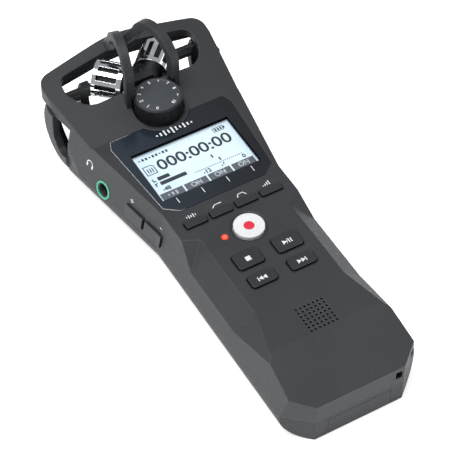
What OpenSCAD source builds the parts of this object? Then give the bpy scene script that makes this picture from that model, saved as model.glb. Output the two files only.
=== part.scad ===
// Pocket field recorder with a crossed pair of microphones inside a roll cage.
// X runs across the case, Y from the bottom end to the microphone end, and Z up
// out of the front face. The origin is the middle of the footprint, on the back.

/* [Case] */
// Overall length of the case, bottom end to microphone end
body_len = 132; // [126:1:160]
// Width of the case at its waist
waist_w = 40.6; // [39:0.2:50]
// Width over the microphone head
head_w = 52; // [48:0.5:60]
// Height of the front face above the back
body_h = 19; // [19:0.2:24]
// Height of the parting line between the two case halves
part_z = 7.5; // [6:0.1:9]
// Thickness of the case walls
wall = 1.6; // [1.2:0.1:2.2]
// Radius of the long edges along the back
back_r = 6.5; // [4:0.1:7]
// How far each side leans in between the parting line and the front face
side_draft = 2.4; // [1:0.1:4]
// Drop of the front face at the bottom end
nose_drop = 5.2; // [3:0.1:5.4]
// Length of the sloping stretch at the bottom end
nose_len = 17; // [14:0.5:22]

/* [Microphone head] */
// Height of the head's top line at the microphone end
hood_top_z = 25.3; // [23:0.1:29]
// Height of the lower edge of the front hood
hood_skirt_z = 18.2; // [16.5:0.1:20]
// Thickness of the head's shell
hood_wall = 2.3; // [1.8:0.1:3]
// Width over the rear drum of the head
drum_w = 53.6; // [50:0.2:58]
// Radius of the rear drum of the head
drum_r = 12; // [11:0.1:13]
// Thickness of the rear drum's shell
drum_wall = 2.2; // [1.6:0.1:3]
// Width of each roll bar
bar_w = 2.5; // [1.8:0.1:3.2]
// Height of the roll bars' crown above the back
bar_top_z = 38.5; // [35:0.5:44]
// Radial depth of each roll bar
bar_t = 2.5; // [2:0.1:3.5]

/* [Controls] */
// Radius of the gain dial
dial_r = 6.8; // [5.5:0.1:7.4]
// Height of the gain dial above the front face
dial_h = 5.5; // [4:0.1:7]
// Radius of the record key
record_r = 4.25; // [3.5:0.05:4.6]
// Width of a transport key
key_w = 7.4; // [6:0.1:9]
// Length of the stop and play keys
key_l = 5.2; // [4:0.1:5.6]
// Length of the rewind and forward keys
low_key_l = 3.9; // [3.2:0.1:4.4]
// Width of a function key
soft_key_w = 6.2; // [5:0.1:6.8]
// Length of a function key
soft_key_l = 2.1; // [1.6:0.1:2.6]
// How far a key travels when it is pressed
key_travel = 0.5; // [0.3:0.05:0.6]
// Gap all round a moving key
key_gap = 0.3; // [0.2:0.05:0.4]
// Length of the volume rocker
rocker_l = 15; // [12:0.5:17]
// Width of the volume rocker
rocker_w = 3.6; // [3:0.1:4.4]

/* [Display] */
// Width of the display's lit area
screen_w = 29.4; // [26:0.2:30]
// Length of the display's lit area
screen_l = 17.6; // [15:0.2:18]
// Thickness of the display lens
lens_t = 1.1; // [0.8:0.05:1.3]

/* [Batteries] */
// Radius of one cell
cell_r = 5.2; // [4.8:0.05:5.3]
// Length of one cell
cell_l = 44.5; // [42:0.1:45]
// Thickness of the battery cover
cover_t = 1.4; // [1.2:0.1:1.6]

/* [Sockets and mount] */
// Radius of the bore of each audio jack
jack_bore_r = 1.78; // [1.75:0.01:1.9]
// Radius of the tapped hole of the tripod insert
tripod_r = 3.18; // [2.8:0.01:3.3]
// Depth of the tapped hole of the tripod insert
tripod_depth = 6; // [5:0.1:6.4]

/* [Microphones] */
// Radius of a microphone's chrome housing
mic_r = 5.3; // [4.8:0.1:5.6]
// Length of a microphone's chrome housing
mic_l = 8.6; // [8:0.1:9.5]
// Angle that each microphone turns away from the long axis
mic_angle = 45; // [40:1:50]

/* [Hidden] */

// Places along the case, measured from its two ends
half_l = body_len / 2;
bottom_y = -half_l;
mic_end_y = half_l;
dial_y = mic_end_y - 26.7;
screen_y = mic_end_y - 47.4;
soft_key_y = mic_end_y - 68.3;
record_y = mic_end_y - 76.4;
play_y = mic_end_y - 86;
skip_y = mic_end_y - 93.4;
speaker_y = mic_end_y - 110.3;
jack_y = mic_end_y - 38.2;
rocker_y = mic_end_y - 56;
slider_y = mic_end_y - 54;
card_y = mic_end_y - 69;
delete_y = mic_end_y - 94;
usb_y = mic_end_y - 106;
tripod_y = mic_end_y - 36;

// Case shape
half_w = waist_w / 2;
head_x = head_w / 2;
flare_y = mic_end_y - 62;
flare_run = 34;
flare_angle = atan((head_x - half_w) / flare_run);
crease_z = part_z - 0.4;
back_step = 9;
draft_rate = side_draft / (body_h - crease_z);
section_top = 34;
far = 90;
end_corner_x = 13.1;
end_corner_l = 6;
nose_y = bottom_y + nose_len;
nose_z = body_h - nose_drop;
facet_x = 13.4;
facet_angle = 44;
facet_y0 = mic_end_y - 74;
facet_y1 = mic_end_y - 102;
facet_flare = 14;
facet_end_lean = 52;
facet_end_turn = 27;
fit_gap = 0.1;
mesh_gap = 0.01;

// Head shape
rise_y = mic_end_y - 31.3;
bulk_y = mic_end_y - 21.4;
bulk_t = 1.6;
drum_y = bulk_y + 4.7;
drum_x = drum_w / 2;
drum_rib_x = 11.8;
drum_rib_w = 2.6;
drum_open_a0 = 285;
drum_open_a1 = 360;
drum_rail_a = 369;
drum_top_a = 395;
drum_fillet = 5;
shoulder_y = mic_end_y - 3.8;
shoulder_r = 4;
tip_r = 40;
tip_rise = tip_r * (1 / cos(atan((mic_end_y - shoulder_y) / head_x)) - 1);
crown_base_z = 16;
rise_angle = atan((hood_top_z - body_h) / (mic_end_y - rise_y));
rise_l = norm([mic_end_y - rise_y, hood_top_z - body_h]);
crown_far_r = 110;
crown_near_r = 400;
crown_tip = crown_far_r * rise_l / (crown_near_r - crown_far_r);
crown_angle = atan(crown_far_r / crown_tip);
crown_h = 16;
window_y0 = bulk_y + 2.7;
window_y1 = mic_end_y - 5.6;
window_x1 = 4.9;
window_out = 21;

// Roll bars
bar_near_y = bulk_y - 2;
bar_near_x = 7;
bar_far_x = 2.6;
bar_far_y = mic_end_y - 0.9;
bar_arc_r = 9;
bar_arc_y = bar_near_y + bar_arc_r - 0.8;
bar_arc_z = bar_top_z - bar_arc_r;
bar_foot_z = 20.4;
bar_far_z = 24.4;
bar_turn = atan((bar_near_x - bar_far_x) / (bar_far_y - bar_near_y));

// Layers through the thickness
inner_top = body_h - wall;
cell_gap = 0.3;
cell_z = cover_t + cell_gap + cell_r;
cell_x = cell_r + 0.4;
bay_roof_t = 0.8;
bay_top = cell_z + cell_r + 0.35;
board_z = bay_top + bay_roof_t;
board_t = 1;
board_top = board_z + board_t;
panel_t = 1.6;
lens_z = body_h - lens_t;
lcd_z = inner_top - 0.1 - panel_t;
lcd_rim = 1.2;
key_flange_t = 0.8;
key_flange_z = inner_top - 0.05 - key_flange_t;
dome_t = 0.4;
stem_clear = 0.1;
stem_bottom = board_top + dome_t + key_travel + stem_clear;
key_proud = 0.45;

// Battery bay
cell_y0 = bottom_y + 6;
bay_end_gap = 2.7;
bay_y0 = cell_y0 - bay_end_gap;
bay_y1 = cell_y0 + cell_l + bay_end_gap;
bay_x = 2 * cell_r + 0.4 + 0.6;
bay_wall = 1.8;
cover_x = bay_x + 0.9;
cover_y1 = bay_y1 + 4;
cover_gap = 0.15;
rail_z = 0.6;
rail_w = 0.8;
hook_t = 1.4;
hook_x = bay_x - 2;
hook_z = part_z - 1.3;

// Gain dial
well_r = dial_r + 0.5;
well_floor = body_h - 0.6;
well_ring = 1.3;
dial_lift = 0.4;
shaft_r = 1.5;
shaft_clear = 0.15;
shaft_fit = 0.05;
shaft_in_dial = 3.2;
pot_w = 7;
pot_top = well_floor - wall - 0.1;

// Keys and light
soft_key_pitch = 7.67;
soft_corner = 0.4;
key_x = 5.9;
key_corner = 0.9;
key_lip = 0.25;
dot_r = 1.45;
dot_t = 0.3;
light_x = -7.4;
light_r = 0.9;
ring_cut = 1.5;

// Speaker
grille_pitch = 1.27;
grille_r = 0.35;
speaker_w = 15;
speaker_l = 9.6;
gasket_t = 0.4;
gasket_rim = 1.2;

// Side controls
rocker_z = 10.8;
rocker_proud = 0.6;
rocker_foot_x = half_w - 3.4;
rocker_foot_t = 0.8;
rocker_notch = 1.2;
rocker_pivot_r = 1.4;
slider_l = 5;
slider_w = 3.2;
slider_z = 10.6;
slider_travel = 1.5;
slider_proud = 0.8;
slider_slot_l = slider_l + 2 * slider_travel + 0.6;
slider_foot_x = half_w - 3.2;
delete_r = 1.6;
delete_z = 10.5;
delete_travel = 0.4;
delete_foot_x = half_w - 3.4;
card_z = 10.6;
card_door_l = 14;
card_door_w = 3.6;
door_gap = 0.2;
door_t = 1;
door_pin_r = 0.65;
card_slot_l = 11.4;
card_t = 0.9;
usb_w = 7.6;
usb_h = 2.7;
usb_l = 5.2;
usb_z = 9.6;
usb_shell = 0.3;
usb_out_x = side_x(usb_z + usb_h / 2) - fit_gap;
door_top_z = card_z + card_door_w / 2;
card_out_x = side_x(board_z) - wall - 0.3;
card_in_x = card_out_x - 12.5;
door_pin_z = card_z - card_door_w / 2 + door_pin_r;
door_pin_x = side_x(door_pin_z) - door_pin_r * 1.02;

// Jacks
jack_z = 9.4;
jack_w = 6;
jack_l = 11;
jack_x = head_x - 5.4;
jack_neck_r = 2.2;
ring_r = 2.8;
ring_l = 1.2;
ring_proud = 0.15;
jack_depth = 14;

// Microphones
mic_wall = 0.8;
mic_z = 20.5;
mic_gap = 0.2;
mic_reach = mic_l / 2 * sin(mic_angle) + mic_r * cos(mic_angle);
mic_x = mic_reach + mic_gap;
mic_y = bulk_y + 9.7;
mic_slots = 12;
mic_slot_w = 1.5;
mesh_t = 0.6;
capsule_l = mic_l - 2.4;
stub_r = 2.6;
bracket_t = 1.4;
bracket_w = 17;
bracket_z = 8.4;
bracket_top = well_floor - wall - fit_gap;
block_x = 3.4;
block_y0 = dial_y + well_r + well_ring + fit_gap;
block_y1 = mic_y - mic_l / 2 * cos(mic_angle) - 0.6;
flex_z = 11;
flex_w = 6;

// Screws, posts and inserts
post_r = 2.2;
foot_r = 2.8;
post_bore_l = 6;
screw_r = 0.95;
screw_head_r = 1.85;
screw_head_h = 1.2;
screw_head_z = 2.4;
screw_l = 9.6;
post_places = [
    [-16.3, bottom_y + 16],
    [16.3, bottom_y + 16],
    [-19, mic_end_y - 28.5],
    [19, mic_end_y - 28.5]
];
board_post_r = 1.6;
board_screw_r = 0.8;
board_head_r = 1.5;
board_head_h = 0.9;
board_places = [
    [-12, mic_end_y - 74.5],
    [11.5, mic_end_y - 60.3],
    [-12, mic_end_y - 33],
    [12, mic_end_y - 33]
];
board_w = 30;
board_y0 = bottom_y + 19;
board_y1 = bulk_y - bulk_t - 0.2;
tripod_len = tripod_depth + 1;
tripod_insert_r = tripod_r + 1.4;
tripod_boss_r = tripod_insert_r + 1.6;
tripod_boss_h = tripod_len + 1;
strap_x = 11.5;
strap_z = 9.6;
strap_depth = 5.5;

// How far out the straight part of the side wall stands at height z
function side_x(z) = half_w - draft_rate * (z - crease_z);

// A rounded polygon: each corner of pts becomes an arc of radius r[i]
function unit2(v) = v / norm(v);
function corner_arc(a, b, c, r, n) =
    let (u = unit2(a - b), v = unit2(c - b), half = acos(u * v) / 2)
    let (mid = b + unit2(u + v) * r / sin(half), reach = r / tan(half))
    let (p = b + u * reach - mid, q = b + v * reach - mid)
    let (a0 = atan2(p[1], p[0]), d = atan2(p[0] * q[1] - p[1] * q[0], p * q))
    [for (i = [0:n]) mid + r * [cos(a0 + d * i / n), sin(a0 + d * i / n)]];
function rounded(pts, r, n = 6) =
    [for (i = [0:len(pts) - 1])
        each corner_arc(pts[(i + len(pts) - 1) % len(pts)], pts[i], pts[(i + 1) % len(pts)], r[i], n)];

// Extrudes a flat shape drawn in X and Z along Y
module along_y(y0, y1) {
    translate([0, y1, 0])
        rotate([90, 0, 0])
            linear_extrude(y1 - y0)
                children();
}

// Extrudes a flat shape drawn in Y and Z along X
module along_x(x0, x1) {
    translate([x0, 0, 0])
        rotate([90, 0, 90])
            linear_extrude(x1 - x0)
                children();
}

// A box from its lowest corner to its highest corner
module box(p, q) {
    translate(p)
        cube(q - p);
}

// Draws its children on both sides of the middle plane
module both_sides() {
    children();
    mirror([1, 0, 0])
        children();
}

// A slab with round corners seen from above, centred on X and Y
module pad(w, l, z0, z1, r) {
    translate([0, 0, z0])
        linear_extrude(z1 - z0)
            union() {
                square([w - 2 * r, l], center = true);
                square([w, l - 2 * r], center = true);
                for (x = [-1, 1], y = [-1, 1])
                    translate([x * (w / 2 - r), y * (l / 2 - r)])
                        circle(r, $fn = 32);
            }
}

// Everything to the left of the case's right side, shrunk by t; the back edge is a stepped arc
module half_section(t) {
    arc = [for (a = [-90:back_step:0]) [half_w - back_r, back_r] + (back_r - t) * [cos(a), sin(a)]];
    polygon(concat(
        [[-far, t]],
        arc,
        [
            [half_w - t, crease_z],
            [half_w - t - draft_rate * (section_top - crease_z), section_top],
            [-far, section_top]
        ]
    ));
}

// Everything to the left of the right side: a straight run, joined to one that leans out
module right_side(t) {
    along_y(-far, far)
        half_section(t);
    translate([half_w, flare_y, 0])
        rotate([0, 0, -flare_angle])
            translate([-half_w, 0, 0])
                along_y(-far, 2 * far)
                    half_section(t);
}

// The outline seen from above, shrunk by t
module plan_outline(t) {
    x = head_x - t;
    pts = [
        [-x, bottom_y + t],
        [x, bottom_y + t],
        [x, shoulder_y - t],
        [0, mic_end_y + tip_rise - t],
        [-x, shoulder_y - t]
    ];
    translate([0, 0, -1])
        linear_extrude(section_top + 2)
            polygon(rounded(pts, [0.1, 0.1, shoulder_r - t / 2, tip_r, shoulder_r - t / 2]));
}

// The outline seen from the side, shrunk by t
module side_outline(t) {
    along_x(-far, far)
        polygon([
            [bottom_y + t, t],
            [bottom_y + t, nose_z - t],
            [nose_y, body_h - t],
            [rise_y, body_h - t],
            [mic_end_y, hood_top_z - t],
            [mic_end_y + 5, hood_top_z - t],
            [mic_end_y + 5, t]
        ]);
}

// The gentle crown across the head
module crown(t) {
    translate([0, mic_end_y, hood_top_z - t])
        rotate([rise_angle, 0, 0])
            translate([0, crown_tip, 0])
                rotate([crown_angle - 90, 0, 0])
                    translate([0, 0, -crown_h])
                        cylinder(h = crown_h, r1 = crown_h * tan(crown_angle), r2 = 0, $fn = 96);
    box([-far, -far, -1], [far, rise_y, section_top]);
    box([-far, -far, -1], [far, far, crown_base_z]);
}

// The long facets beside the keys, as the material they take away
module facets(t) {
    both_sides() {
        intersection() {
            translate([facet_x - t * 0.4, 0, body_h - t])
                rotate([0, facet_angle, 0])
                    box([-far, -far, 0], [far, facet_y0 + 20, far]);
            translate([facet_x, facet_y0 + 1.3 * t, body_h])
                rotate([0, 0, facet_end_turn])
                    rotate([-facet_end_lean, 0, 0])
                        box([-far, -far, -far], [far, 0, far]);
            box([facet_x - t - 1, facet_y1, 0], [far, facet_y0 + 20, far]);
        }
        intersection() {
            translate([facet_x - t * 0.4, facet_y1, body_h - t])
                rotate([0, 0, facet_flare])
                    rotate([0, facet_angle, 0])
                        box([-far, -far, 0], [far, far, far]);
            box([-2, -far, 0], [far, facet_y1, far]);
        }
    }
}

// The chamfered corners of the bottom end
module end_corners(t) {
    both_sides()
        translate([end_corner_x, bottom_y, 0])
            rotate([0, 0, atan(end_corner_l / (half_w - end_corner_x))])
                translate([0, -far + t, -1])
                    cube([far, far, section_top + 2]);
}

// The whole closed shape of the case and the head, shrunk by t
module case_shape(t) {
    difference() {
        intersection() {
            right_side(t);
            mirror([1, 0, 0])
                right_side(t);
            plan_outline(t);
            side_outline(t);
            crown(t);
        }
        facets(t);
        end_corners(t);
    }
}

// The rear drum of the head, a short cylinder lying across it with round edges
module drum_solid(r, half, fillet) {
    translate([0, drum_y, drum_r])
        rotate([90, 0, 90])
            rotate_extrude($fn = 96)
                union() {
                    translate([0, -half + fillet])
                        square([r, 2 * (half - fillet)]);
                    translate([0, -half])
                        square([r - fillet, 2 * half]);
                    for (side = [-1, 1])
                        translate([r - fillet, side * (half - fillet)])
                            circle(fillet, $fn = 48);
                }
}

// A sector of the drum's wall between two angles, from x0 to x1
module drum_window(x0, x1, a0, a1) {
    translate([0, drum_y, drum_r])
        rotate([90, 0, 90])
            rotate([0, 0, a0])
                rotate_extrude(angle = a1 - a0, $fn = 96)
                    translate([drum_r * 0.5, x0])
                        square([drum_r, x1 - x0]);
}

// The side openings between the hood and the drum
module side_windows() {
    pts = [
        [bulk_y - 1, part_z + 0.6],
        [bulk_y + 4.2, part_z - 1],
        [bulk_y + 7.4, part_z + 3],
        [bulk_y + 7, hood_skirt_z + 2],
        [bulk_y - 1, hood_skirt_z + 2]
    ];
    along_x(-far, far)
        polygon(rounded(pts, [0.4, 2.5, 3, 0.1, 0.1]));
}

// The opening in the top of the hood, drawn as two halves that meet in the middle
module hood_windows() {
    pts = [
        [-1, window_y0],
        [window_out - 3.5, window_y0],
        [window_out, window_y0 + 6.5],
        [window_out - 0.4, window_y1 - 0.8],
        [window_x1, window_y1 + 1.2],
        [-1, window_y1 + 1.2]
    ];
    both_sides()
        translate([0, 0, hood_skirt_z - 1])
            linear_extrude(section_top)
                polygon(rounded(pts, [0.1, 6, 5, 3, 1, 0.1]));
}

// One roll bar seen from the side, as a flat shape in Y and Z
module bar_side() {
    difference() {
        union() {
            translate([bar_arc_y, bar_arc_z])
                circle(bar_arc_r, $fn = 96);
            polygon([
                [bar_arc_y, bar_arc_z],
                [bar_arc_y + bar_arc_r * cos(50), bar_arc_z + bar_arc_r * sin(50)],
                [bar_far_y, bar_far_z],
                [bar_far_y - 3, bar_far_z - 3],
                [bar_arc_y, bar_far_z - 3]
            ]);
            translate([bar_arc_y - bar_arc_r, bar_foot_z])
                square([bar_arc_r, bar_arc_z - bar_foot_z]);
        }
        translate([bar_arc_y, bar_arc_z])
            circle(bar_arc_r - bar_t, $fn = 96);
        polygon([
            [bar_arc_y, bar_arc_z],
            [bar_arc_y + (bar_arc_r - bar_t) * cos(50), bar_arc_z + (bar_arc_r - bar_t) * sin(50)],
            [bar_far_y - 2.6, bar_far_z - 1.4],
            [bar_far_y - 2.6, 0],
            [bar_arc_y, 0]
        ]);
        translate([bar_arc_y - bar_arc_r + bar_t, 0])
            square([bar_arc_r - bar_t, bar_arc_z]);
    }
}

// The two roll bars over the microphones
module roll_bars() {
    both_sides()
        translate([bar_near_x, bar_near_y, 0])
            rotate([0, 0, bar_turn])
                translate([0, -bar_near_y, 0])
                    along_x(-bar_w / 2, bar_w / 2)
                        bar_side();
}

// A key: the cap that shows, a wider foot behind the wall and a stem down to its dome
module key_body(w, l, r) {
    lip = key_gap + key_lip;
    pad(w, l, key_flange_z, body_h + key_proud, r);
    pad(w + 2 * lip, l + 2 * lip, key_flange_z, key_flange_z + key_flange_t, r);
    translate([0, 0, stem_bottom])
        cylinder(h = key_flange_z - stem_bottom + mesh_gap, r = min(w, l) * 0.35, $fn = 32);
}

// The hole that a key moves in
module key_hole(w, l, r) {
    pad(w + 2 * key_gap, l + 2 * key_gap, inner_top - 1, body_h + 1, r + key_gap);
}

// Puts its children at a function key's place
module at_soft_key(i) {
    translate([(i - 2.5) * soft_key_pitch, soft_key_y, 0])
        children();
}

// Puts its children at a point of the right wall, with their Z axis pointing out of it
module at_side(x, y, z) {
    translate([x, y, z])
        rotate([0, 90, 0])
            children();
}

// Outline of the display lens, grown by t
module lens_shape(z0, z1, t) {
    top_y = rise_y - 0.2 + t;
    low_y = screen_y - 15.3 - t;
    pts = [
        [17.8 + t, top_y],
        [18.9 + t, top_y - 2.8],
        [16.8 + t, low_y + 2.9],
        [13 + t, low_y],
        [-13 - t, low_y],
        [-16.8 - t, low_y + 2.9],
        [-18.9 - t, top_y - 2.8],
        [-17.8 - t, top_y]
    ];
    difference() {
        translate([0, 0, z0])
            linear_extrude(z1 - z0)
                polygon(rounded(pts, [0.6, 1.5, 1, 1.5, 1.5, 1, 1.5, 0.6], 4));
        translate([0, dial_y, z0 - 1])
            cylinder(h = z1 - z0 + 2, r = well_r + well_ring - t, $fn = 96);
    }
}

// A bored post for a case screw, hanging from the front case
module screw_post() {
    translate([0, 0, part_z])
        difference() {
            cylinder(h = body_h - part_z, r = post_r, $fn = 32);
            translate([0, 0, -1])
                cylinder(h = post_bore_l + 1, r = screw_r, $fn = 32);
        }
}

// A short post for a board screw, hanging from the front case
module board_post() {
    translate([0, 0, board_top])
        difference() {
            cylinder(h = inner_top - board_top + 0.4, r = board_post_r, $fn = 32);
            translate([0, 0, -1])
                cylinder(h = inner_top - board_top + 0.6, r = board_screw_r, $fn = 32);
        }
}

// The holes of the front face: keys, record light and speaker grille
module face_holes() {
    for (i = [1:4])
        at_soft_key(i)
            key_hole(soft_key_w, soft_key_l, soft_corner);
    for (x = [-key_x, key_x]) {
        translate([x, play_y, 0])
            key_hole(key_w, key_l, key_corner);
        translate([x, skip_y, 0])
            key_hole(key_w, low_key_l, key_corner);
    }
    translate([0, record_y, inner_top - 1])
        cylinder(h = wall + 2, r = record_r + key_gap, $fn = 64);
    translate([0, record_y, body_h - 0.4])
        cylinder(h = 1, r1 = record_r + key_gap + 0.2, r2 = record_r + key_gap + ring_cut, $fn = 64);
    translate([light_x, record_y, inner_top - 1])
        cylinder(h = wall + 2, r = light_r + fit_gap, $fn = 32);
    for (i = [-3:3], j = [-3:3])
        translate([i * grille_pitch, speaker_y + j * grille_pitch, inner_top - 2])
            cylinder(h = wall + 4, r = grille_r, $fn = 16);
}

// The holes of the side walls: jacks, rocker, slider, delete key, card door and socket
module side_holes() {
    both_sides()
        at_side(jack_x - 2, jack_y, jack_z)
            cylinder(h = 12, r = ring_r + fit_gap, $fn = 64);
    box([-half_w - 4, rocker_y - rocker_l / 2 - key_gap, rocker_z - rocker_w / 2 - key_gap],
        [-half_w + 3, rocker_y + rocker_l / 2 + key_gap, rocker_z + rocker_w / 2 + key_gap]);
    box([half_w - 3, slider_y - slider_slot_l / 2, slider_z - slider_w / 2 - key_gap],
        [half_w + 4, slider_y + slider_slot_l / 2, slider_z + slider_w / 2 + key_gap]);
    at_side(half_w - 4, delete_y, delete_z)
        cylinder(h = 8, r = delete_r + key_gap, $fn = 48);
    box([half_w - 3, card_y - card_door_l / 2 - door_gap, card_z - card_door_w / 2 - door_gap],
        [half_w + 4, card_y + card_door_l / 2 + door_gap, card_z + card_door_w / 2 + door_gap]);
    box([usb_out_x - usb_l - fit_gap, usb_y - usb_w / 2 - fit_gap, usb_z - usb_h / 2 - fit_gap],
        [half_w + 4, usb_y + usb_w / 2 + fit_gap, usb_z + usb_h / 2 + fit_gap]);
}

// The strap's slot through the bottom right corner
module strap_holes() {
    box([strap_x - 1, bottom_y - 1, strap_z], [strap_x + 1, bottom_y + strap_depth, strap_z + 2.6]);
    box([strap_x - 1, bottom_y + strap_depth - 2, strap_z], [far, bottom_y + strap_depth, strap_z + 2.6]);
}

// The shell above the parting line, with its bulkhead, and the hood above the microphones
module front_shell() {
    difference() {
        intersection() {
            case_shape(0);
            union() {
                box([-far, -far, part_z], [far, bulk_y, section_top]);
                box([-far, bulk_y - 1, hood_skirt_z], [far, far, section_top]);
            }
        }
        intersection() {
            case_shape(wall);
            box([-far, -far, -1], [far, bulk_y - bulk_t, section_top]);
        }
        intersection() {
            case_shape(hood_wall);
            box([-far, bulk_y, -1], [far, far, section_top]);
        }
        hood_windows();
    }
}

// Front half of the case, with the display opening, the hood and the roll bars
module front_case() {
    color("#474a4d")
        difference() {
            union() {
                front_shell();
                intersection() {
                    case_shape(0);
                    translate([0, dial_y, well_floor - wall])
                        cylinder(h = 12, r = well_r + well_ring, $fn = 96);
                }
                intersection() {
                    case_shape(wall / 2);
                    union() {
                        for (p = post_places)
                            translate([p[0], p[1], 0])
                                screw_post();
                        for (p = board_places)
                            translate([p[0], p[1], 0])
                                board_post();
                    }
                }
                roll_bars();
            }
            translate([0, dial_y, well_floor])
                cylinder(h = dial_h + 1.4, r = well_r, $fn = 96);
            translate([0, dial_y, well_floor - wall - 1])
                cylinder(h = 6, r = shaft_r + shaft_clear, $fn = 48);
            lens_shape(body_h - lens_t - fit_gap, body_h + 1, fit_gap);
            box([-screen_w / 2 - 1, screen_y - screen_l / 2 - 1, inner_top - 1],
                [screen_w / 2 + 1, screen_y + screen_l / 2 + 1, body_h + 1]);
            face_holes();
            side_holes();
            strap_holes();
            box([-flex_w / 2, bulk_y - 3, flex_z - 0.5], [flex_w / 2, bulk_y + 1, flex_z + 0.5]);
        }
}

// The drum behind the microphones, with its windows
module rear_drum() {
    difference() {
        intersection() {
            drum_solid(drum_r, drum_x, drum_fillet);
            box([-far, bulk_y, 0], [far, far, hood_skirt_z]);
        }
        drum_solid(drum_r - drum_wall, drum_x - drum_wall, drum_fillet - drum_wall);
        side_windows();
        both_sides()
            for (x = [
                [drum_rib_w / 2, drum_rib_x],
                [drum_rib_x + drum_rib_w, drum_x - drum_fillet - 0.4]
            ]) {
                drum_window(x[0], x[1], drum_open_a0, drum_open_a1);
                drum_window(x[0], x[1], drum_rail_a, drum_top_a);
            }
    }
}

// The battery cover's opening, the grooves of its rails and the gap for its hook
module cover_cut() {
    box([-cover_x, -far, -1], [cover_x, cover_y1, cover_t]);
    box([-cover_x - rail_w, -far, rail_z], [cover_x + rail_w, cover_y1, cover_t]);
    box([-hook_x, -far, -1], [hook_x, bottom_y + hook_t, hook_z]);
}

// Rear half of the case, with the battery bay and the drum behind the microphones
module rear_case() {
    color("#3c3f42")
        difference() {
            union() {
                difference() {
                    intersection() {
                        case_shape(0);
                        box([-far, -far, -1], [far, bulk_y, part_z]);
                    }
                    intersection() {
                        case_shape(wall);
                        box([-far, -far, -1], [far, bulk_y - bulk_t, part_z + 1]);
                    }
                }
                rear_drum();
                intersection() {
                    case_shape(wall + fit_gap);
                    box([-bay_x - bay_wall, -far, 0], [bay_x + bay_wall, bay_y1 + bay_wall, board_z]);
                }
                intersection() {
                    case_shape(wall / 2);
                    union() {
                        box([-bay_x - bay_wall, -far, 0], [bay_x + bay_wall, cover_y1 + wall, 2 * wall]);
                        translate([0, tripod_y, 0])
                            cylinder(h = tripod_boss_h, r = tripod_boss_r, $fn = 64);
                        for (p = post_places)
                            translate([p[0], p[1], 0])
                                cylinder(h = part_z, r = foot_r, $fn = 32);
                    }
                }
            }
            box([-bay_x, bay_y0, cover_t], [bay_x, bay_y1, bay_top]);
            cover_cut();
            translate([0, tripod_y, -1])
                cylinder(h = tripod_len + 1, r = tripod_insert_r, $fn = 64);
            for (p = post_places)
                translate([p[0], p[1], -1]) {
                    cylinder(h = part_z + 2, r = screw_r + fit_gap, $fn = 32);
                    cylinder(h = 1 + screw_head_z, r = screw_head_r + fit_gap, $fn = 32);
                }
            side_holes();
            both_sides()
                at_mic()
                    cylinder(h = mic_l + 2 * mic_gap, r = mic_r + mic_gap, center = true, $fn = 96);
        }
}

// Sliding battery cover with two rails, a hook over the bottom end and three grip ribs
module battery_cover() {
    color("#3c3f42")
        intersection() {
            case_shape(0);
            difference() {
                union() {
                    box([-cover_x + cover_gap, -far, 0],
                        [cover_x - cover_gap, cover_y1 - cover_gap, cover_t - cover_gap]);
                    box([-cover_x - rail_w + cover_gap, -far, rail_z + cover_gap],
                        [cover_x + rail_w - cover_gap, cover_y1 - cover_gap, cover_t - cover_gap]);
                    box([-hook_x + cover_gap, -far, 0],
                        [hook_x - cover_gap, bottom_y + hook_t - cover_gap, hook_z - cover_gap]);
                }
                for (i = [0:2])
                    box([-6, cover_y1 - 12 + 3 * i, -1], [6, cover_y1 - 10.8 + 3 * i, 0.4]);
            }
        }
}

// Clear lens over the display
module display_lens() {
    color("#2f3a45")
        lens_shape(lens_z, body_h, 0);
}

// Liquid crystal panel behind the opening
module lcd_panel() {
    color("#e6f4fb")
        translate([0, screen_y, 0])
            box([-screen_w / 2 - lcd_rim, -screen_l / 2 - lcd_rim, lcd_z],
                [screen_w / 2 + lcd_rim, screen_l / 2 + lcd_rim, lcd_z + panel_t]);
}

// Light panel between the main board and the liquid crystal panel
module lcd_backlight() {
    color("#eef2f2")
        translate([0, screen_y, 0])
            box([-screen_w / 2 - lcd_rim, -screen_l / 2 - lcd_rim, board_top],
                [screen_w / 2 + lcd_rim, screen_l / 2 + lcd_rim, lcd_z]);
}

// Main board with its chips, which lie on its underside above the sockets
module main_board() {
    color("#1f5a3a")
        difference() {
            union() {
                box([-board_w / 2, board_y0, board_z], [board_w / 2, board_y1, board_top]);
                box([-4.5, -8, board_z - 1.2], [4.5, 1, board_z]);
                box([-6.5, 8, board_z - 1], [-1.5, 14, board_z]);
                box([2, 9, board_z - 1], [5, 12, board_z]);
            }
            for (p = board_places)
                translate([p[0], p[1], board_z - 2])
                    cylinder(h = 4, r = board_screw_r + fit_gap, $fn = 32);
        }
}

// Snap domes on the main board, one under each key
module key_domes() {
    color("silver")
        translate([0, 0, board_top]) {
            for (i = [1:4])
                at_soft_key(i)
                    cylinder(h = dome_t, r = 1.6, $fn = 32);
            for (x = [-key_x, key_x], y = [play_y, skip_y])
                translate([x, y, 0])
                    cylinder(h = dome_t, r = 2.2, $fn = 32);
            translate([0, record_y, 0])
                cylinder(h = dome_t, r = 2.4, $fn = 32);
        }
}

// One of the four keys under the display
module function_key(i) {
    color("#3a3f42")
        at_soft_key(i)
            key_body(soft_key_w, soft_key_l, soft_corner);
}

// White round record key with a pocket for its dot
module record_key() {
    color("#f2f4f4")
        translate([0, record_y, 0])
            difference() {
                union() {
                    translate([0, 0, key_flange_z])
                        cylinder(h = body_h + key_proud - key_flange_z, r = record_r, $fn = 64);
                    translate([0, 0, key_flange_z])
                        cylinder(h = key_flange_t, r = record_r + key_gap + key_lip, $fn = 64);
                    translate([0, 0, stem_bottom])
                        cylinder(h = key_flange_z - stem_bottom + mesh_gap, r = 1.6, $fn = 32);
                }
                translate([0, 0, body_h + key_proud - dot_t])
                    cylinder(h = 1, r = dot_r, $fn = 48);
            }
}

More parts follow.
